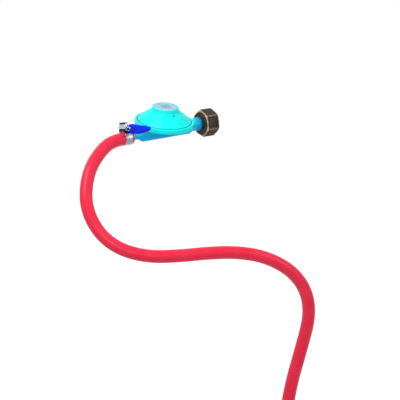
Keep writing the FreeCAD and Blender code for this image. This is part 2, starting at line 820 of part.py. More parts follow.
# End fitting: barbed tail in the hose, swivelling union nut and its flat seal. X runs down out of the hose.
endPlacement = FreeCAD.Placement(hoseEnd, downward)
endTail = newBody("end_tail")
endBack = asSize(11.7)
endPoints = [
    (endBack + 2.3, tailBore),
    (endBack + 2.3, 3.0),
    (endBack + 1.4, 3.0),
    (endBack + 1.4, 5.4),
    (endBack + 2.3, 5.4),
    (endBack + 2.3, size["end_bore"] - 0.3),
    (endBack, size["end_bore"] - 0.3),
    (endBack, tailRadius + 0.6),
    (asSize(1.2), tailRadius + 0.6),
    (asSize(1.2), tailRadius - 0.3),
    (asSize(-1.0), tailRadius - 0.3),
]
for index in range(4):
    barb = asSize(-1.0) - size["barb_pitch"] * index
    endPoints.append((barb, tailRadius))
    endPoints.append((barb - size["barb_pitch"], tailRadius - 0.5))
endPoints.append((asSize(-1.0) - size["barb_pitch"] * 4, tailBore))
turn(endTail, "EndBarbs", endPoints, axis="H_Axis")
endTail.Placement = endPlacement

endSeal = newBody("end_seal")
turn(endSeal, "EndRing", [
    (endBack + 1.45, 3.05),
    (endBack + 1.45, 5.35),
    (endBack + 2.6, 5.35),
    (endBack + 2.6, 3.05),
], axis="H_Axis")
endSeal.Placement = endPlacement

endNut = unionNut("end_nut", size["end_flats"], asSize(8.4), asSize(20.0), tailRadius + 0.66, 3.0,
                  size["end_bore"] + 0.4, size["end_bore"], size["end_thread"], 0.0)
endNut.Placement = endPlacement

doc.recompute()

faulty = []
for item in doc.Objects:
    if "Invalid" in item.State or "Error" in item.State:
        faulty.append(item.Label)
for node in nodes:
    if node.Shape.isNull() or not node.Shape.isValid() or node.Shape.Volume < 1e-3:
        faulty.append(node.Label)
if faulty:
    raise RuntimeError("not sound: " + ", ".join(sorted(set(faulty))))

tubeVolume = hose.Shape.Volume
section = math.pi * (dimensions["hose_radius"] ** 2 - dimensions["hose_bore"] ** 2)
print("hose bend radii", " ".join(f"{radius:.0f}" for radius in bendRadii))
print(f"hose length {path.Length:.1f}, volume {tubeVolume:.0f} against {section * path.Length:.0f}")
for node in nodes:
    node.Shape.exportStep(f"parts/{node.Label}.step")
    print(f"{node.Label}: {node.Shape.Volume:.1f} mm3, {len(node.Shape.Solids)} solid")
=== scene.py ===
import bmesh
import bpy
import json
import math
from mathutils import Matrix, Vector


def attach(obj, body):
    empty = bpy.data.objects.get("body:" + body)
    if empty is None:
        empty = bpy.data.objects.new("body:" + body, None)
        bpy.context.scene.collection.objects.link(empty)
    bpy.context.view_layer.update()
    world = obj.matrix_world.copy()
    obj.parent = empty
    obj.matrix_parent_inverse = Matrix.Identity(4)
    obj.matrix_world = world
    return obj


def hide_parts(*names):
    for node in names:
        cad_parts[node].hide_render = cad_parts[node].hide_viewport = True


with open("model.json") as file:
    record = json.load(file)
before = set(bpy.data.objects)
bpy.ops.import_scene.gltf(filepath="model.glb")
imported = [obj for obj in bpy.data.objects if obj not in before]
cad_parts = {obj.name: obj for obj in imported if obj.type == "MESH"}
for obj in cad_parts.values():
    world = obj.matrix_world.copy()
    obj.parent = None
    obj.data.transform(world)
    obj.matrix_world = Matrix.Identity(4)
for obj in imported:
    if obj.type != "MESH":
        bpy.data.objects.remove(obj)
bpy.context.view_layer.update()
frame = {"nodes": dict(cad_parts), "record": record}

nodes = frame["nodes"]
scene = bpy.context.scene

# Camera: long lens, slightly rolled.
cameraSet = {"azimuth": -36.0, "elevation": 20.0, "roll": 5.0, "lens": 1200.0, "sensor": 36.0, "clipEnd": 50.0,
             "width": 0.4571, "target": (-0.017, 0.0, 0.0), "shift": (-0.0005, -0.0875)}
azimuth = math.radians(cameraSet["azimuth"])
elevation = math.radians(cameraSet["elevation"])
roll = math.radians(cameraSet["roll"])
back = Vector((math.sin(azimuth) * math.cos(elevation), -math.cos(azimuth) * math.cos(elevation),
               math.sin(elevation)))
level = Vector((math.cos(azimuth), math.sin(azimuth), 0.0))
upright = back.cross(level)
rightward = level * math.cos(roll) + upright * math.sin(roll)
upward = upright * math.cos(roll) - level * math.sin(roll)
centre = Vector(cameraSet["target"]) + rightward * cameraSet["shift"][0] + upward * cameraSet["shift"][1]
cameraData = bpy.data.cameras.new("camera")
cameraData.lens = cameraSet["lens"]
cameraData.sensor_width = cameraSet["sensor"]
cameraData.clip_end = cameraSet["clipEnd"]
camera = bpy.data.objects.new("camera", cameraData)
scene.collection.objects.link(camera)
distance = cameraSet["width"] * cameraSet["lens"] / cameraSet["sensor"]
turned = Matrix((rightward, upward, back)).transposed().to_4x4()
camera.matrix_world = Matrix.Translation(centre + back * distance) @ turned
scene.camera = camera
print("camera ready")

# Hose: free cord from the outlet tail to the end fitting.
hoseSet = {"length": 0.8, "diameter": 0.015, "exit": (-0.1123, 0.0, -0.004), "order": 3, "steps": 12, "roundness": 8}
hosePoints = [
    hoseSet["exit"],
    (-0.132, 0.0, -0.004),
    (-0.1535, -0.005, -0.009),
    (-0.1815, -0.02, -0.026),
    (-0.1985, -0.04, -0.051),
    (-0.2, -0.0575, -0.0725),
    (-0.1915, -0.076, -0.0905),
    (-0.1735, -0.0925, -0.102),
    (-0.148, -0.1085, -0.1065),
    (-0.1175, -0.1225, -0.1045),
    (-0.087, -0.1345, -0.101),
    (-0.057, -0.1465, -0.1),
    (-0.0285, -0.159, -0.1045),
    (-0.0035, -0.171, -0.117),
    (0.0125, -0.179, -0.1335),
    (0.0215, -0.1845, -0.154),
    (0.0235, -0.187, -0.1785),
    (0.017, -0.186, -0.213),
    (0.007, -0.185, -0.26),
    (0.005, -0.184, -0.302),
    (0.006, -0.184, -0.3515),
    (0.007, -0.1845, -0.407),
    (0.006, -0.184, -0.464),
    (0.006, -0.184, -0.5203),
]
hoseCurve = bpy.data.curves.new("hose", "CURVE")
hoseCurve.dimensions = "3D"
hoseSpline = hoseCurve.splines.new("NURBS")
hoseSpline.points.add(len(hosePoints) - 1)
for point, place in zip(hoseSpline.points, hosePoints):
    point.co = (*place, 1.0)
    point.radius = hoseSet["diameter"] / 2
hoseSpline.order_u = hoseSet["order"]
hoseSpline.use_endpoint_u = True
hoseSpline.resolution_u = hoseSet["steps"]
hoseCurve.bevel_depth = 1.0  # the points carry the real radius
hoseCurve.bevel_resolution = hoseSet["roundness"]
hoseCurve.use_fill_caps = True
hose = bpy.data.objects.new("redHose", hoseCurve)
scene.collection.objects.link(hose)
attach(hose, "regulator")
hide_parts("hose")
print("hose ready")

discX = -0.068  # the housing's upright axis
grainDepth = 0.0001
patchRange = (0.3, 0.7)  # the part of the noise that turns one colour into the other


# Shader helpers.
def newMaterial(name):
    material = bpy.data.materials.new(name)
    material.use_nodes = True
    tree = material.node_tree
    return material, tree, tree.nodes["Principled BSDF"]


def coordinates(tree):
    return tree.nodes.new("ShaderNodeTexCoord").outputs["Object"]


def feed(tree, item, socket):
    if isinstance(item, bpy.types.NodeSocket):
        tree.links.new(item, socket)
    elif isinstance(item, tuple) and len(item) == 3 and socket.type == "RGBA":
        socket.default_value = (*item, 1.0)
    else:
        socket.default_value = item


def split(tree, vector):
    node = tree.nodes.new("ShaderNodeSeparateXYZ")
    feed(tree, vector, node.inputs["Vector"])
    return node.outputs


def fromAxis(tree, first, second):
    # Distance from an axis, out of the two coordinates across it.
    flat = tree.nodes.new("ShaderNodeCombineXYZ")
    feed(tree, first, flat.inputs["X"])
    feed(tree, second, flat.inputs["Y"])
    node = tree.nodes.new("ShaderNodeVectorMath")
    node.operation = "LENGTH"
    feed(tree, flat.outputs["Vector"], node.inputs["Vector"])
    return node.outputs["Value"]


def noise(tree, vector, scale, detail=3.0, roughness=0.5):
    node = tree.nodes.new("ShaderNodeTexNoise")
    feed(tree, vector, node.inputs["Vector"])
    feed(tree, scale, node.inputs["Scale"])
    feed(tree, detail, node.inputs["Detail"])
    feed(tree, roughness, node.inputs["Roughness"])
    return node.outputs["Fac"]


def remap(tree, value, low, high, newLow, newHigh):
    node = tree.nodes.new("ShaderNodeMapRange")
    for item, name in ((value, "Value"), (low, "From Min"), (high, "From Max"),
                       (newLow, "To Min"), (newHigh, "To Max")):
        feed(tree, item, node.inputs[name])
    return node.outputs["Result"]


def combine(tree, operation, first, second=0.0):
    node = tree.nodes.new("ShaderNodeMath")
    node.operation = operation
    feed(tree, first, node.inputs[0])
    feed(tree, second, node.inputs[1])
    return node.outputs["Value"]


def mixColours(tree, factor, first, second):
    # The colour sockets come after the mix node's number and vector ones.
    node = tree.nodes.new("ShaderNodeMix")
    node.data_type = "RGBA"
    feed(tree, factor, node.inputs["Factor"])
    feed(tree, first, node.inputs[6])
    feed(tree, second, node.inputs[7])
    return node.outputs[2]


def mixShaders(tree, factor, first, second):
    node = tree.nodes.new("ShaderNodeMixShader")
    feed(tree, factor, node.inputs["Fac"])
    feed(tree, first, node.inputs[1])
    feed(tree, second, node.inputs[2])
    return node.outputs["Shader"]


def bump(tree, shader, height, strength, distance):
    node = tree.nodes.new("ShaderNodeBump")
    node.inputs["Strength"].default_value = strength
    node.inputs["Distance"].default_value = distance
    feed(tree, height, node.inputs["Height"])
    feed(tree, node.outputs["Normal"], shader.inputs["Normal"])


def grainGroup():
    # Cloudy patches of two colours with their own roughness, and a fine grain for the bump.
    group = bpy.data.node_groups.new("surfaceGrain", "ShaderNodeTree")
    for name, kind in (("Vector", "Vector"), ("First", "Color"), ("Second", "Color"), ("Patch Scale", "Float"),
                       ("Grain Scale", "Float"), ("Smooth", "Float"), ("Rough", "Float")):
        group.interface.new_socket(name=name, in_out="INPUT", socket_type="NodeSocket" + kind)
    for name, kind in (("Colour", "Color"), ("Roughness", "Float"), ("Patches", "Float"), ("Grain", "Float")):
        group.interface.new_socket(name=name, in_out="OUTPUT", socket_type="NodeSocket" + kind)
    given = group.nodes.new("NodeGroupInput").outputs
    result = group.nodes.new("NodeGroupOutput").inputs
    cloud = noise(group, given["Vector"], given["Patch Scale"], detail=4.0)
    patches = remap(group, cloud, *patchRange, 0.0, 1.0)
    feed(group, mixColours(group, patches, given["First"], given["Second"]), result["Colour"])
    feed(group, remap(group, patches, 0.0, 1.0, given["Smooth"], given["Rough"]), result["Roughness"])
    feed(group, patches, result["Patches"])
    feed(group, noise(group, given["Vector"], given["Grain Scale"], detail=2.0), result["Grain"])
    return group


surfaceGrain = grainGroup()


def placeGrain(tree, vector, finish):
    node = tree.nodes.new("ShaderNodeGroup")
    node.node_tree = surfaceGrain
    feed(tree, vector, node.inputs["Vector"])
    for name in ("First", "Second", "Patch Scale", "Grain Scale", "Smooth", "Rough"):
        feed(tree, finish[name], node.inputs[name])
    return node.outputs


def dress(tree, shader, surface, colour, metallic, specular, strength):
    feed(tree, colour, shader.inputs["Base Color"])
    feed(tree, surface["Roughness"], shader.inputs["Roughness"])
    shader.inputs["Metallic"].default_value = metallic
    shader.inputs["Specular IOR Level"].default_value = specular
    bump(tree, shader, surface["Grain"], strength, grainDepth)


def mottled(name, first, second, scale, rough, swing, metallic=0.0, specular=0.5, grain=1500.0, strength=0.08):
    material, tree, shader = newMaterial(name)
    finish = {"First": first, "Second": second, "Patch Scale": scale, "Grain Scale": grain,
              "Smooth": rough - swing, "Rough": rough + swing}
    surface = placeGrain(tree, coordinates(tree), finish)
    dress(tree, shader, surface, surface["Colour"], metallic, specular, strength)
    return material


# Paint: bright on the dome; painted shade makes it deeper and bluer on the keel and towards the inlet, and a painted
# shadow darkens the rim's groove.
# The keel and neck colours are the paint with painted shade in them, for the lower sides and for the inlet beside the
# nut.
paintSet = {"keel": ((0.002, 0.49, 0.89), (0.004, 0.54, 0.95)), "neck": ((0.002, 0.29, 0.54), (0.004, 0.33, 0.60)),
            "keelTop": -0.004, "domeFoot": 0.007, "domeEnd": -0.033, "neckStart": -0.022, "specular": 0.14,
            "strength": 0.06}
paintGrain = {"First": (0.003, 0.81, 0.74), "Second": (0.007, 0.87, 0.79), "Patch Scale": 60.0,
              "Grain Scale": 1400.0, "Smooth": 0.34, "Rough": 0.42}
# Painted shadow in the groove between the cover's shoulder and the rolled rim.
grooveShadeSet = {"radius": 0.03118, "full": 0.0003, "gone": 0.0006, "depth": 0.7, "under": 0.0085, "top": 0.0090,
             "colour": (0.0, 0.20, 0.32)}


def paintedCasting():
    material, tree, shader = newMaterial("cyanPaint")
    vector = coordinates(tree)
    surface = placeGrain(tree, vector, paintGrain)
    where = split(tree, vector)
    # Painted shade: low down and towards the inlet, the paint turns to the keel's and the neck's shaded colours.
    height = remap(tree, where["Z"], paintSet["keelTop"], paintSet["domeFoot"], 0.0, 1.0)
    inward = remap(tree, where["X"], paintSet["domeEnd"], paintSet["neckStart"], 1.0, 0.0)
    keelShade = mixColours(tree, surface["Patches"], *paintSet["keel"])
    neckShade = mixColours(tree, surface["Patches"], *paintSet["neck"])
    lower = mixColours(tree, inward, neckShade, keelShade)
    painted = mixColours(tree, combine(tree, "MULTIPLY", height, inward), lower, surface["Colour"])
    fromDisc = fromAxis(tree, combine(tree, "SUBTRACT", where["X"], discX), where["Y"])
    # Painted shadow: a thin dark ring at the groove's radius, above the rim's top.
    offGroove = combine(tree, "ABSOLUTE", combine(tree, "SUBTRACT", fromDisc, grooveShadeSet["radius"]))
    across = remap(tree, offGroove, grooveShadeSet["full"], grooveShadeSet["gone"], grooveShadeSet["depth"], 0.0)
    above = remap(tree, where["Z"], grooveShadeSet["under"], grooveShadeSet["top"], 0.0, 1.0)
    colour = mixColours(tree, combine(tree, "MULTIPLY", across, above), painted, grooveShadeSet["colour"])
    dress(tree, shader, surface, colour, 0.0, paintSet["specular"], paintSet["strength"])
    return material


# Cap foil: brushed grey-blue middle, paler towards the border.
foilSet = {"border": (0.36, 0.58, 0.64), "inner": 0.0035, "outer": 0.0085, "most": 0.75, "specular": 0.3,
           "strength": 0.1}
foilGrain = {"First": (0.17, 0.39, 0.52), "Second": (0.12, 0.33, 0.48), "Patch Scale": 260.0,
             "Grain Scale": 1500.0, "Smooth": 0.34, "Rough": 0.44}


def capFoil():
    material, tree, shader = newMaterial("labelGrey")
    vector = coordinates(tree)
    surface = placeGrain(tree, vector, foilGrain)
    where = split(tree, vector)
    fromDisc = fromAxis(tree, combine(tree, "SUBTRACT", where["X"], discX), where["Y"])
    border = remap(tree, fromDisc, foilSet["inner"], foilSet["outer"], 0.0, foilSet["most"])
    colour = mixColours(tree, border, surface["Colour"], foilSet["border"])
    dress(tree, shader, surface, colour, 0.0, foilSet["specular"], foilSet["strength"])
    return material


# Old brass: bright along the six corners and the chamfers, partly wear and partly a painted highlight on the edges;
# dull brown between them.
wearAndHighlightSet = {"backEdge": -0.0161, "mouthEdge": -0.0004, "edgeFull": 0.0006, "edgeGone": 0.0010,
           "rimStart": 0.0129, "rimFull": 0.0132, "cornerStart": 0.0152, "cornerFull": 0.0158, "cornerRubAndHighlight": 0.4,
           "stainScale": 130.0, "stainRange": (0.35, 0.65), "speckScale": 520.0, "speckRange": (0.56, 0.70),
           "wearScale": 260.0, "wearRange": (0.3, 0.6), "leastWear": 0.35, "pitScale": 420.0,
           "dark": ((0.022, 0.018, 0.015), (0.054, 0.043, 0.034)), "speck": (0.15, 0.10, 0.065), "specks": 0.45,
           "bright": (0.64, 0.43, 0.27), "rough": (0.62, 0.48), "metallic": 0.08, "specular": 0.1,
           "strength": 0.25, "depth": 0.0002}


def wornHighlitBrass():
    material, tree, shader = newMaterial("wornHighlitBrass")
    vector = coordinates(tree)
    where = split(tree, vector)
    fromBack = combine(tree, "ABSOLUTE", combine(tree, "SUBTRACT", where["X"], wearAndHighlightSet["backEdge"]))
    fromMouth = combine(tree, "ABSOLUTE", combine(tree, "SUBTRACT", where["X"], wearAndHighlightSet["mouthEdge"]))
    nearEdge = remap(tree, combine(tree, "MINIMUM", fromBack, fromMouth), wearAndHighlightSet["edgeFull"], wearAndHighlightSet["edgeGone"],
                     1.0, 0.0)
    radius = fromAxis(tree, where["Y"], where["Z"])
    # Painted highlight, mixed with wear: brighter along the six corners and the rims of the chamfered ends.
    corner = remap(tree, radius, wearAndHighlightSet["cornerStart"], wearAndHighlightSet["cornerFull"], 0.0, wearAndHighlightSet["cornerRubAndHighlight"])
    rim = combine(tree, "MULTIPLY", remap(tree, radius, wearAndHighlightSet["rimStart"], wearAndHighlightSet["rimFull"], 0.0, 1.0), nearEdge)
    stainNoise = noise(tree, vector, wearAndHighlightSet["stainScale"], detail=6.0, roughness=0.65)
    stain = remap(tree, stainNoise, *wearAndHighlightSet["stainRange"], 0.0, 1.0)
    speckNoise = noise(tree, vector, wearAndHighlightSet["speckScale"], roughness=0.6)
    specks = remap(tree, speckNoise, *wearAndHighlightSet["speckRange"], 0.0, 1.0)
    wearNoise = noise(tree, vector, wearAndHighlightSet["wearScale"])
    patchy = remap(tree, wearNoise, *wearAndHighlightSet["wearRange"], wearAndHighlightSet["leastWear"], 1.0)
    dark = mixColours(tree, stain, *wearAndHighlightSet["dark"])
    flecked = mixColours(tree, combine(tree, "MULTIPLY", specks, wearAndHighlightSet["specks"]), dark, wearAndHighlightSet["speck"])
    rubbedAndHighlit = combine(tree, "MULTIPLY", combine(tree, "MAXIMUM", corner, rim), patchy)
    feed(tree, mixColours(tree, rubbedAndHighlit, flecked, wearAndHighlightSet["bright"]), shader.inputs["Base Color"])
    feed(tree, remap(tree, stain, 0.0, 1.0, *wearAndHighlightSet["rough"]), shader.inputs["Roughness"])
    shader.inputs["Metallic"].default_value = wearAndHighlightSet["metallic"]
    shader.inputs["Specular IOR Level"].default_value = wearAndHighlightSet["specular"]
    pits = noise(tree, vector, wearAndHighlightSet["pitScale"], detail=4.0)
    bump(tree, shader, pits, wearAndHighlightSet["strength"], wearAndHighlightSet["depth"])
    return material


cyanPaint = paintedCasting()
labelGrey = capFoil()
wornHighlitNut = wornHighlitBrass()
whitePlastic = mottled("whitePlastic", (0.74, 0.74, 0.71), (0.66, 0.66, 0.62), scale=90.0, rough=0.45, swing=0.06,
                       strength=0.1)
springSteel = mottled("springSteel", (0.42, 0.42, 0.42), (0.3, 0.3, 0.31), scale=300.0, rough=0.35, swing=0.08,
                      metallic=1.0)
blackRubber = mottled("blackRubber", (0.016, 0.016, 0.017), (0.028, 0.028, 0.028), scale=400.0, rough=0.62,
                      swing=0.08, grain=2500.0, strength=0.3)
aluminium = mottled("aluminium", (0.62, 0.63, 0.65), (0.52, 0.53, 0.55), scale=200.0, rough=0.38, swing=0.08,
                    metallic=1.0)
brass = mottled("brass", (0.56, 0.38, 0.13), (0.44, 0.28, 0.09), scale=150.0, rough=0.30, swing=0.07,
                metallic=1.0, grain=1200.0, strength=0.1)
zincPlate = mottled("zincPlate", (0.34, 0.40, 0.44), (0.20, 0.25, 0.29), scale=260.0, rough=0.26, swing=0.09,
                    metallic=1.0, grain=1400.0, strength=0.12)
brightZinc = mottled("brightZinc", (0.58, 0.64, 0.67), (0.40, 0.46, 0.50), scale=260.0, rough=0.20, swing=0.05,
                     metallic=1.0)
# Near-black painted shade: the vent's inside, and the clamps' hood and saddle where they lie in shade.
paintedShade = mottled("paintedShade", (0.010, 0.013, 0.022), (0.005, 0.007, 0.012), scale=300.0, rough=0.5, swing=0.08,
                    specular=0.1)
bluePlastic = mottled("bluePlastic", (0.0, 0.032, 0.88), (0.0, 0.026, 0.76), scale=160.0, rough=0.34, swing=0.05,
                      specular=0.05, grain=1100.0)
redRubber = mottled("redRubber", (0.86, 0.024, 0.066), (0.78, 0.016, 0.048), scale=40.0, rough=0.28, swing=0.05,
                    specular=0.2, grain=500.0, strength=0.05)
bronzeMesh = mottled("bronzeMesh", (0.34, 0.22, 0.10), (0.16, 0.10, 0.05), scale=2500.0, rough=0.55, swing=0.1,
                     metallic=1.0)

slotMaterials = {"cyan_paint": cyanPaint, "label_grey": labelGrey, "white_plastic": whitePlastic,
                 "spring_steel": springSteel, "black_rubber": blackRubber, "aluminium": aluminium, "brass": brass,
                 "aged_brass": wornHighlitNut, "zinc_plate": zincPlate, "blue_plastic": bluePlastic,
                 "red_rubber": redRubber, "bronze_mesh": bronzeMesh}
for subpart in frame["record"]["subparts"]:
    node = nodes[subpart["node"]]
    node.data.materials.clear()
    node.data.materials.append(slotMaterials[subpart["material_slot"]])
hose.data.materials.append(redRubber)
print("materials ready")


# Mesh helpers. Piece dictionaries and outlines are in millimetres, places in metres, angles in degrees.
tiny = 1e-9
weld = 1e-7


def finishMesh(name, bm, material, body, place=None, sharp=38.0):
    if place is not None:
        bm.transform(place)
    bmesh.ops.recalc_face_normals(bm, faces=bm.faces[:])
    mesh = bpy.data.meshes.new(name)
    bm.to_mesh(mesh)
    bm.free()
    for face in mesh.polygons:
        face.use_smooth = True
    mesh.set_sharp_from_angle(angle=math.radians(sharp))
    mesh.materials.append(material)
    piece = bpy.data.objects.new(name, mesh)
    scene.collection.objects.link(piece)
    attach(piece, body)
    return piece


def softened(corners, segments=5):
    # Rounds each corner by its third value, with at most half of the shorter side.
    share = 0.49
    points = []
    count = len(corners)
    for index, corner in enumerate(corners):
        here = Vector(corner[:2])
        radius = corner[2] if len(corner) > 2 else 0.0
        before = Vector(corners[index - 1][:2]) - here
        after = Vector(corners[(index + 1) % count][:2]) - here
        if radius <= 0.0 or before.length < tiny or after.length < tiny:
            points.append(here)
            continue
        half = before.angle(after) / 2
        reach = min(radius / math.tan(half), share * before.length, share * after.length)
        radius = reach * math.tan(half)
        middle = here + (before.normalized() + after.normalized()).normalized() * (radius / math.sin(half))
        first = here + before.normalized() * reach - middle
        last = here + after.normalized() * reach - middle
        sweep = first.angle_signed(last)
        for step in range(segments + 1):
            turn = Matrix.Rotation(-sweep * step / segments, 2)
            points.append(middle + turn @ first)
    return points


def spun(corners, steps=120, segments=5):
    # Corners are (along, radius, rounding); the axis is local X.
    bm = bmesh.new()
    points = softened(corners, segments)
    verts = [bm.verts.new((point.x / 1000, 0.0, point.y / 1000)) for point in points]
    outline = [bm.edges.new((vert, verts[(index + 1) % len(verts)])) for index, vert in enumerate(verts)]
    onAxis = [edge for edge in outline if all(abs(vert.co.z) < tiny for vert in edge.verts)]
    for edge in onAxis:
        outline.remove(edge)
        bm.edges.remove(edge)
    bmesh.ops.spin(bm, geom=verts + outline, cent=(0, 0, 0), axis=(1, 0, 0), angle=math.tau, steps=steps,
                   use_merge=True, use_duplicate=False)
    bmesh.ops.remove_doubles(bm, verts=bm.verts[:], dist=weld)  # joins the copies of points on the axis
    return bm


def prism(corners, width, rounding, segments=3, edgeSegments=5):
    # Corners are (x, z, rounding); the block is centred on local Y.
    bm = bmesh.new()
    points = softened(corners, edgeSegments)
    verts = [bm.verts.new((point.x / 1000, -width / 2000, point.y / 1000)) for point in points]
    face = bm.faces.new(verts)
    grown = bmesh.ops.extrude_face_region(bm, geom=[face])
    moved = [item for item in grown["geom"] if isinstance(item, bmesh.types.BMVert)]
    bmesh.ops.translate(bm, verts=moved, vec=(0, width / 1000, 0))
    bmesh.ops.recalc_face_normals(bm, faces=bm.faces[:])
    rims = [edge for edge in bm.edges if abs(edge.verts[0].co.y - edge.verts[1].co.y) < tiny]
    bmesh.ops.bevel(bm, geom=rims, offset=rounding / 1000, offset_type="OFFSET", affect="EDGES",
                    segments=segments, profile=0.5, material=-1, clamp_overlap=True)
    return bm


alongZ = Matrix.Rotation(-math.pi / 2, 4, "Y")
discPlace = Matrix.Translation((discX, 0.0, 0.0))

# Lower body: bowl and rolled rim, keel, neck.
bowlSet = {"under": -2.6, "floor": 11.1, "base": 5.3, "flank": 32.2, "top": 10.9, "radius": 34.0, "lip": 31.4,
           "seat": 9.7, "groove": 32.4, "ledge": 7.0, "inside": 28.0, "wall": 6.2, "well": -0.6, "wellRadius": 10.5,
           "steps": 180}
bowl = spun([
    (bowlSet["under"], 0.0),
    (bowlSet["under"], bowlSet["floor"], 6.0),
    (bowlSet["base"] - 0.3, bowlSet["flank"], 1.2),
    (bowlSet["base"], bowlSet["radius"] - 0.3, 0.5),
    (bowlSet["base"] + 1.2, bowlSet["radius"], 1.2),
    (bowlSet["top"] - 0.6, bowlSet["radius"] - 0.1, 1.6),
    (bowlSet["top"], bowlSet["radius"] - 1.3, 0.8),
    (bowlSet["top"] - 0.1, bowlSet["lip"], 0.5),
    (bowlSet["seat"], bowlSet["lip"]),
    (bowlSet["seat"], bowlSet["groove"]),
    (bowlSet["ledge"], bowlSet["groove"]),
    (bowlSet["ledge"], bowlSet["inside"]),
    (bowlSet["wall"], bowlSet["inside"]),
    (bowlSet["well"], bowlSet["wellRadius"]),
    (bowlSet["well"], 0.0),
], steps=bowlSet["steps"])
bowl = finishMesh("bowl", bowl, cyanPaint, "regulator", discPlace @ alongZ)
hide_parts("body_casting")

keelSet = {"left": -32.0, "leftBase": -9.4, "leftTop": 4.9, "crest": 5.3, "right": 34.0, "rightBase": -8.1,
           "rightTop": 2.0, "waist": 10.5, "waistTop": -1.9, "width": 11.0, "rounding": 0.5}
keel = prism([
    (keelSet["left"], keelSet["leftBase"], 0.6),
    (keelSet["right"], keelSet["rightBase"]),
    (keelSet["right"], keelSet["rightTop"]),
    (keelSet["waist"], keelSet["waistTop"]),
    (-keelSet["waist"], keelSet["waistTop"]),
    (keelSet["left"] + 1.2, keelSet["crest"]),
    (keelSet["left"], keelSet["leftTop"], 0.4),
], keelSet["width"], keelSet["rounding"])
finishMesh("keel", keel, cyanPaint, "regulator", discPlace)

neckSet = {"start": 13.0, "bore": 3.1, "root": 5.4, "flare": 27.0, "foot": 32.4, "footRadius": 6.7, "bulge": 8.6,
           "slope": 35.5, "shank": 38.0, "shankRadius": 7.3, "collar": 43.6, "radius": 7.7, "end": 49.0,
           "mouth": 5.1, "mouthDepth": 13.0, "steps": 96}
neck = spun([
    (neckSet["start"], neckSet["bore"]),
    (neckSet["start"], neckSet["root"]),
    (neckSet["flare"], neckSet["root"]),
    (neckSet["foot"], neckSet["footRadius"]),
    (neckSet["foot"] + 0.4, neckSet["bulge"], 0.4),
    (neckSet["slope"], neckSet["bulge"] - 0.2, 3.0),
    (neckSet["shank"], neckSet["shankRadius"], 3.0),
    (neckSet["collar"] - 0.9, neckSet["shankRadius"], 0.3),
    (neckSet["collar"] - 0.7, neckSet["footRadius"], 0.2),
    (neckSet["collar"], neckSet["footRadius"], 0.2),
    (neckSet["collar"] + 0.2, neckSet["radius"], 0.5),
    (neckSet["end"] - 0.1, neckSet["radius"], 0.9),
    (neckSet["end"], neckSet["mouth"]),
    (neckSet["end"] - neckSet["mouthDepth"], neckSet["mouth"]),
    (neckSet["end"] - neckSet["mouthDepth"], neckSet["bore"]),
], steps=neckSet["steps"])
finishMesh("neck", neck, cyanPaint, "regulator", discPlace)
print("lower body ready")

# Cover: cone, hub and flange.
coverSet = {"flange": 8.3, "inside": 28.0, "rim": 32.2, "step": 9.55, "shoulder": 30.9, "coneFoot": 11.1,
            "cone": 18.0, "coneRadius": 22.9, "hubFoot": 23.0, "hub": 14.8, "top": 27.5, "cap": 13.3,
            "capSeat": 25.8, "thread": 12.6, "threadEnd": 18.8, "pocket": 14.4, "roof": 21.6, "roofFoot": 10.9,
            "steps": 180}
cover = spun([
    (coverSet["flange"], coverSet["inside"]),
    (coverSet["flange"], coverSet["rim"]),
    (coverSet["step"], coverSet["rim"]),
    (coverSet["step"], coverSet["shoulder"]),
    (coverSet["coneFoot"], coverSet["shoulder"], 0.8),
    (coverSet["cone"], coverSet["coneRadius"], 40.0),
    (coverSet["hubFoot"], coverSet["hub"] + 1.0, 2.2),
    (coverSet["top"] - 0.2, coverSet["hub"], 0.9),
    (coverSet["top"], coverSet["hub"] - 0.7, 0.4),
    (coverSet["top"], coverSet["cap"], 0.25),
    (coverSet["capSeat"], coverSet["cap"]),
    (coverSet["capSeat"], coverSet["thread"]),
    (coverSet["threadEnd"], coverSet["thread"]),
    (coverSet["threadEnd"], coverSet["pocket"]),
    (coverSet["roof"], coverSet["pocket"]),
    (coverSet["roofFoot"], coverSet["inside"]),
], steps=coverSet["steps"], segments=8)
cover = finishMesh("coverShell", cover, cyanPaint, "regulator", discPlace @ alongZ)
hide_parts("cover")

# Vent: ring with a closed bottom, let into the cone beside the hub; its near-black colour is painted shade for the
# hole's depth.
ventSet = {"under": -1.2, "top": 0.75, "radius": 0.98, "hole": 0.66, "holeFoot": 0.6, "sunk": 0.55,
           "steps": 32, "tilt": 38.5, "place": (discX, -0.0173, 0.0214)}
vent = spun([
    (ventSet["under"], 0.0),
    (ventSet["under"], ventSet["radius"]),
    (ventSet["top"], ventSet["radius"], 0.1),
    (ventSet["top"], ventSet["hole"]),
    (ventSet["sunk"], ventSet["holeFoot"]),
    (ventSet["sunk"], 0.0),
], steps=ventSet["steps"])
ventPlace = Matrix.Translation(ventSet["place"]) @ Matrix.Rotation(math.radians(ventSet["tilt"]), 4, "X") @ alongZ
finishMesh("ventHole", vent, paintedShade, "regulator", ventPlace)
print("cover ready")

# Cap: shallow disc with a raised border.
capSet = {"under": 25.9, "radius": 13.2, "edge": 27.25, "top": 27.65, "crest": 12.7, "border": 12.0,
          "step": 27.45, "stepRadius": 11.7, "middle": 27.6, "steps": 144}
cap = spun([
    (capSet["under"], 0.0),
    (capSet["under"], capSet["radius"]),
    (capSet["edge"], capSet["radius"], 0.35),
    (capSet["top"], capSet["crest"], 0.35),
    (capSet["top"], capSet["border"], 0.2),
    (capSet["step"], capSet["stepRadius"], 0.2),
    (capSet["middle"], 0.0),
], steps=capSet["steps"])
cap = finishMesh("capDisc", cap, labelGrey, "cap", discPlace @ alongZ)
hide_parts("label_cap")


# Hexagon nuts: a turned blank with coned ends and a stepped bore, cut by six planes.
blankSet = {"trim": 0.12, "coneAngle": 30.0, "edge": 0.15, "leadIn": 0.25, "leadLength": 0.3, "steps": 180,
            "sides": 6, "sharp": 25.0}


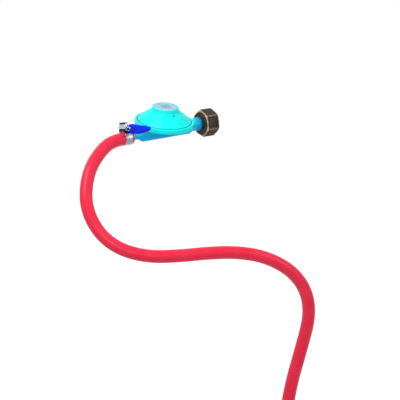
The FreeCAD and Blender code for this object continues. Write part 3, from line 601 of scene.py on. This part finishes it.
def hexNut(nutSize):
    length = nutSize["length"]
    shoulder = nutSize["shoulder"]
    corner = nutSize["flats"] / math.sqrt(3) - blankSet["trim"]
    reach = (corner - nutSize["cone"]) * math.tan(math.radians(blankSet["coneAngle"]))
    outline = [(blankSet["edge"], nutSize["hole"]), (0.0, nutSize["hole"] + blankSet["edge"])]
    if shoulder:
        outline += [(0.0, nutSize["round"], 0.4), (shoulder, nutSize["round"])]
    outline += [
        (shoulder, nutSize["cone"]),
        (shoulder + reach, corner, 0.3),
        (length - reach, corner, 0.3),
        (length, nutSize["cone"]),
        (length, nutSize["bore"] + blankSet["leadIn"]),
        (length - blankSet["leadLength"], nutSize["bore"]),
        (length - nutSize["thread"], nutSize["bore"]),
        (length - nutSize["thread"], nutSize["relief"]),
        (nutSize["wall"], nutSize["relief"]),
        (nutSize["wall"], nutSize["hole"]),
    ]
    bm = spun(outline, steps=blankSet["steps"])
    for index in range(blankSet["sides"]):
        angle = math.radians(nutSize["twist"] + 360 / blankSet["sides"] * index)
        outward = Vector((0.0, math.sin(angle), math.cos(angle)))
        bmesh.ops.bisect_plane(bm, geom=bm.verts[:] + bm.edges[:] + bm.faces[:], dist=weld,
                               plane_co=outward * nutSize["flats"] / 2000, plane_no=outward, clear_outer=True)
        bmesh.ops.holes_fill(bm, edges=[edge for edge in bm.edges if edge.is_boundary], sides=0)
    return bm


def threadRidge(ridgeSize):
    # Helical ridge inside a mouth: a triangular tooth spun with a rise, faded out at both ends.
    bm = bmesh.new()
    start, end, pitch, steps = ridgeSize["start"], ridgeSize["end"], ridgeSize["pitch"], ridgeSize["steps"]
    total = round((end - start) / pitch * steps)
    root = ridgeSize["radius"] + ridgeSize["sunk"]
    flank = ridgeSize["flank"]
    tooth = [bm.verts.new(((start + offset * pitch) / 1000, 0.0, (root - rise) / 1000))
             for offset, rise in ((-flank, 0.0), (0.0, ridgeSize["height"]), (flank, 0.0))]
    sides = [bm.edges.new(pair) for pair in zip(tooth, tooth[1:])]
    bmesh.ops.spin(bm, geom=tooth + sides, cent=(0, 0, 0), axis=(1, 0, 0), dvec=(pitch / steps / 1000, 0, 0),
                   angle=math.tau * total / steps, steps=total, use_duplicate=False)
    for vert in bm.verts:
        along = vert.co.x * 1000
        fade = max(0.0, min(1.0, (along - start) / ridgeSize["fade"], (end - along) / ridgeSize["fade"]))
        reach = math.hypot(vert.co.y, vert.co.z) * 1000
        scale = (root - (root - reach) * fade) / reach
        vert.co.y *= scale
        vert.co.z *= scale
    return bm


nutSet = {"length": 18.4, "flats": 27.6, "cone": 13.5, "hole": 6.25, "wall": 5.4, "relief": 10.6, "bore": 10.0,
          "thread": 9.9, "twist": 50.0, "shoulder": 2.0, "round": 12.7}
ridgeSet = {"start": -9.2, "end": -0.9, "radius": 10.0, "height": 1.0, "pitch": 1.814, "flank": 0.42, "sunk": 0.02,
            "fade": 0.5, "steps": 48, "sharp": 60.0}
nutPlace = Matrix.Translation((-nutSet["length"] / 1000, 0.0, 0.0))
nut = finishMesh("brownNut", hexNut(nutSet), wornHighlitNut, "union_nut", nutPlace, blankSet["sharp"])
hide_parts("union_nut")
finishMesh("nutThread", threadRidge(ridgeSet), brass, "union_nut", None, ridgeSet["sharp"])
print("union nut ready")

# Worm-drive clamps. The screw's frame has local X along the worm and local Z away from the hose.
bandSet = {"half": 4.5, "inner": 7.55, "outer": 8.3, "bead": 0.9, "proud": 0.15, "sunk": 0.12, "steps": 120}
barrelSet = {"half": 6.5, "radius": 4.6, "bore": 3.4, "ring": 1.2, "wall": 1.0, "offset": 12.65, "steps": 64}
saddleSet = {"width": 9.8, "rounding": 0.25, "outline": [
    (-5.6, -5.9, 0.3), (-5.6, -3.3, 0.3), (-4.4, -1.6, 0.4), (4.4, -1.6, 0.4), (6.4, -2.6, 0.3), (6.6, -6.5, 0.3),
    (5.6, -6.1, 0.2), (3.0, -4.5, 2.0), (0.0, -4.15, 4.0), (-3.0, -4.5, 2.0),
]}
# Hood: a near-black sheet over the barrel's top, painted shade for the barrel's dark top.
shadeHoodSet = {"width": 6.0, "rounding": 0.8, "outline": [
    (-6.3, 3.2, 0.5), (-6.3, 4.9, 0.6), (-5.6, 5.2, 0.4), (3.4, 4.9, 0.5), (3.4, 3.2, 0.3),
]}
wormSet = {"back": -5.2, "thread": 3.1, "collar": 6.7, "collarRadius": 4.3, "neck": 7.6, "head": 8.0,
           "headRadius": 3.8, "face": 8.7, "stem": 1.8, "tip": 14.5, "steps": 48}
leafSet = {"width": 4.6, "rounding": 1.3, "outline": [
    (11.2, -6.0, 1.4), (11.2, 3.3, 1.4), (14.0, 3.7, 6.0), (30.0, 2.5, 30.0), (43.0, 1.4, 20.0), (49.0, 0.5, 2.6),
    (51.2, -1.2, 1.8), (50.2, -3.4, 2.0), (45.0, -5.5, 12.0), (37.0, -7.2, 16.0), (28.0, -7.8, 16.0),
    (14.0, -7.8, 2.8),
]}
# Painted highlight: the pin's bright zinc end stands in for the glint at the key's base.
pinSet = {"half": 2.6, "end": 0.9, "shank": 2.2, "radius": 1.2, "steps": 32, "place": (0.0136, 0.0, -0.0008)}


def bandMesh():
    half, bead = bandSet["half"], bandSet["bead"]
    edge, middle = bandSet["outer"] + bandSet["proud"], bandSet["outer"] - bandSet["sunk"]
    return spun([(-half, bandSet["inner"], 0.15), (-half, edge, 0.3), (-half + bead, middle, 0.3),
                 (half - bead, middle, 0.3), (half, edge, 0.3), (half, bandSet["inner"], 0.15)],
                steps=bandSet["steps"], segments=3)


def barrelMesh():
    half, radius, ring = barrelSet["half"], barrelSet["radius"], barrelSet["ring"]
    floor = -half + barrelSet["wall"]
    return spun([(-half, 0.0), (-half, radius - 0.1, 0.5), (-half + ring, radius, 0.3), (half - ring, radius, 0.3),
                 (half, radius - 0.05, 0.3), (half, barrelSet["bore"], 0.15), (floor, barrelSet["bore"]),
                 (floor, 0.0)],
                steps=barrelSet["steps"], segments=4)


def wormMesh():
    thread, stem = wormSet["thread"], wormSet["stem"]
    return spun([
        (wormSet["back"], 0.0), (wormSet["back"], thread, 0.2), (wormSet["collar"], thread),
        (wormSet["collar"], wormSet["collarRadius"], 0.25), (wormSet["neck"], wormSet["collarRadius"], 0.25),
        (wormSet["neck"], thread), (wormSet["head"], thread), (wormSet["head"], wormSet["headRadius"], 0.25),
        (wormSet["face"], wormSet["headRadius"], 0.25), (wormSet["face"], stem), (wormSet["tip"], stem),
        (wormSet["tip"], 0.0),
    ], steps=wormSet["steps"], segments=3)


def pinMesh():
    half, end, shank, radius = pinSet["half"], pinSet["end"], pinSet["shank"], pinSet["radius"]
    return spun([(-half, 0.0), (-half, end, 0.2), (-shank, radius, 0.2), (shank, radius, 0.2), (half, end, 0.2),
                 (half, 0.0)], steps=pinSet["steps"])


def clampPieces(prefix, place, body, keyBody, bandNode, housingNode, screwNode, keyNode):
    wormFrame = place @ Matrix.Translation((0, 0, barrelSet["offset"] / 1000)) @ Matrix.Rotation(-math.pi / 2, 4, "Z")
    pinFrame = wormFrame @ Matrix.Translation(pinSet["place"]) @ Matrix.Rotation(math.pi / 2, 4, "Z")
    band = finishMesh(prefix + "BandRing", bandMesh(), zincPlate, body, place)
    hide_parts(bandNode)
    barrel = finishMesh(prefix + "Barrel", barrelMesh(), brightZinc, body, wormFrame)
    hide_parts(housingNode)
    # Painted shade: a near-black sheet over the barrel's top.
    shadeHood = prism(shadeHoodSet["outline"], shadeHoodSet["width"], shadeHoodSet["rounding"], 3)
    shadeHood = finishMesh(prefix + "ShadeHood", shadeHood, paintedShade, body, wormFrame)
    # The saddle is near-black: painted shade in the gap between the barrel and the band.
    saddle = prism(saddleSet["outline"], saddleSet["width"], saddleSet["rounding"], 2)
    saddle = finishMesh(prefix + "Saddle", saddle, paintedShade, body, wormFrame)
    worm = finishMesh(prefix + "Worm", wormMesh(), brightZinc, keyBody, wormFrame)
    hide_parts(screwNode)
    leaf = prism(leafSet["outline"], leafSet["width"], leafSet["rounding"], 4, 6)
    leaf = finishMesh(prefix + "Leaf", leaf, bluePlastic, keyBody, wormFrame)
    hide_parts(keyNode)
    pin = finishMesh(prefix + "KeyPin", pinMesh(), brightZinc, keyBody, pinFrame)
    return band, barrel, shadeHood, saddle, worm, leaf, pin


nearSet = {"place": (-0.1196, 0.0, -0.004), "tilt": -19.0}
nearPlace = Matrix.Translation(nearSet["place"]) @ Matrix.Rotation(math.radians(nearSet["tilt"]), 4, "X")
clampPieces("near", nearPlace, "regulator", "clamp_key", "clamp_band", "clamp_housing", "clamp_screw", "clamp_key")
farSet = {"clamp": (0.006, -0.184, -0.5098), "nut": (0.006, -0.184, -0.5287)}
downFrame = Matrix(((0, 1, 0), (0, 0, -1), (-1, 0, 0))).to_4x4()
farPieces = clampPieces("far", Matrix.Translation(farSet["clamp"]) @ downFrame, "regulator", "end_clamp_key",
                        "end_clamp_band", "end_clamp_housing", "end_clamp_screw", "end_clamp_key")
print("clamps ready")

# End union nut.
endNutSet = {"length": 11.6, "flats": 17.0, "cone": 8.2, "hole": 4.56, "wall": 3.0, "relief": 7.0, "bore": 6.6,
             "thread": 5.6, "twist": 0.0, "shoulder": 0.0}
endNutPlace = Matrix.Translation(farSet["nut"]) @ downFrame
endNut = finishMesh("smallNut", hexNut(endNutSet), brass, "end_nut", endNutPlace, blankSet["sharp"])
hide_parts("end_nut")
print("end fitting ready")


# Light: white backdrop for what the lens, gloss and glass see, softer fill for everything else.
def seenDirectly(tree):
    paths = tree.nodes.new("ShaderNodeLightPath").outputs
    mirrored = combine(tree, "MAXIMUM", paths["Is Glossy Ray"], paths["Is Transmission Ray"])
    return combine(tree, "MAXIMUM", paths["Is Camera Ray"], mirrored)


fillSet = {"colour": (0.86, 0.92, 1.0), "strength": 0.52}
world = bpy.data.worlds.new("backdrop")
scene.world = world
world.use_nodes = True
worldTree = world.node_tree
backdrop = worldTree.nodes["Background"]
feed(worldTree, (1.0, 1.0, 1.0), backdrop.inputs["Color"])
fill = worldTree.nodes.new("ShaderNodeBackground")
feed(worldTree, fillSet["colour"], fill.inputs["Color"])
fill.inputs["Strength"].default_value = fillSet["strength"]
sky = mixShaders(worldTree, seenDirectly(worldTree), fill.outputs["Background"], backdrop.outputs["Background"])
feed(worldTree, sky, worldTree.nodes["World Output"].inputs["Surface"])

# Floor: pale, below the hose's end; open from underneath.
floorSet = {"height": -0.60, "half": 1.2, "cells": 8, "colour": (0.60, 0.60, 0.60), "patch": (0.62, 0.62, 0.62),
            "patchScale": 12.0, "rough": 0.9, "glow": 0.7}
floorMesh = bmesh.new()
bmesh.ops.create_grid(floorMesh, x_segments=floorSet["cells"], y_segments=floorSet["cells"], size=floorSet["half"],
                      matrix=Matrix.Translation((0.0, 0.0, floorSet["height"])))
floorData = bpy.data.meshes.new("floor")
floorMesh.to_mesh(floorData)
floorMesh.free()
floorMaterial, floorTree, floorShader = newMaterial("floorWhite")
floorPatches = noise(floorTree, coordinates(floorTree), floorSet["patchScale"])
floorColour = mixColours(floorTree, floorPatches, floorSet["colour"], floorSet["patch"])
floorGlow = combine(floorTree, "MULTIPLY", seenDirectly(floorTree), floorSet["glow"])
feed(floorTree, floorColour, floorShader.inputs["Base Color"])
feed(floorTree, floorGlow, floorShader.inputs["Emission Strength"])
floorShader.inputs["Emission Color"].default_value = (1.0, 1.0, 1.0, 1.0)
floorShader.inputs["Roughness"].default_value = floorSet["rough"]
underneath = floorTree.nodes.new("ShaderNodeNewGeometry").outputs["Backfacing"]
clear = floorTree.nodes.new("ShaderNodeBsdfTransparent").outputs["BSDF"]
openSide = mixShaders(floorTree, underneath, floorShader.outputs["BSDF"], clear)
feed(floorTree, openSide, floorTree.nodes["Material Output"].inputs["Surface"])
floorData.materials.append(floorMaterial)
floorPlane = bpy.data.objects.new("floor", floorData)
scene.collection.objects.link(floorPlane)
print("floor ready")

# Lamps: their places are steps to the camera's right, up and back from the middle of the view, in metres.
lampAim = Vector((-0.08, -0.08, -0.1))
lampSets = {
    "keyLamp": {"steps": (-0.7, 1.2, 0.8), "width": 0.7, "power": 16.0, "colour": (1.0, 0.98, 0.95)},
    "sideLamp": {"steps": (1.2, 0.5, 0.9), "width": 0.8, "power": 5.0, "colour": (0.95, 0.97, 1.0)},
    "frontLamp": {"steps": (0.0, 0.2, 1.6), "width": 0.6, "power": 5.0, "colour": (1.0, 1.0, 1.0)},
}
for name, lampSet in lampSets.items():
    across, rise, behind = lampSet["steps"]
    position = centre + rightward * across + upward * rise + back * behind
    lamp = bpy.data.lights.new(name, "AREA")
    lamp.size = lampSet["width"]
    lamp.energy = lampSet["power"]
    lamp.color = lampSet["colour"]
    holder = bpy.data.objects.new(name, lamp)
    scene.collection.objects.link(holder)
    holder.location = position
    holder.rotation_euler = (lampAim - position).to_track_quat("-Z", "Y").to_euler()
print("light ready")

scene.view_settings.view_transform = "Standard"
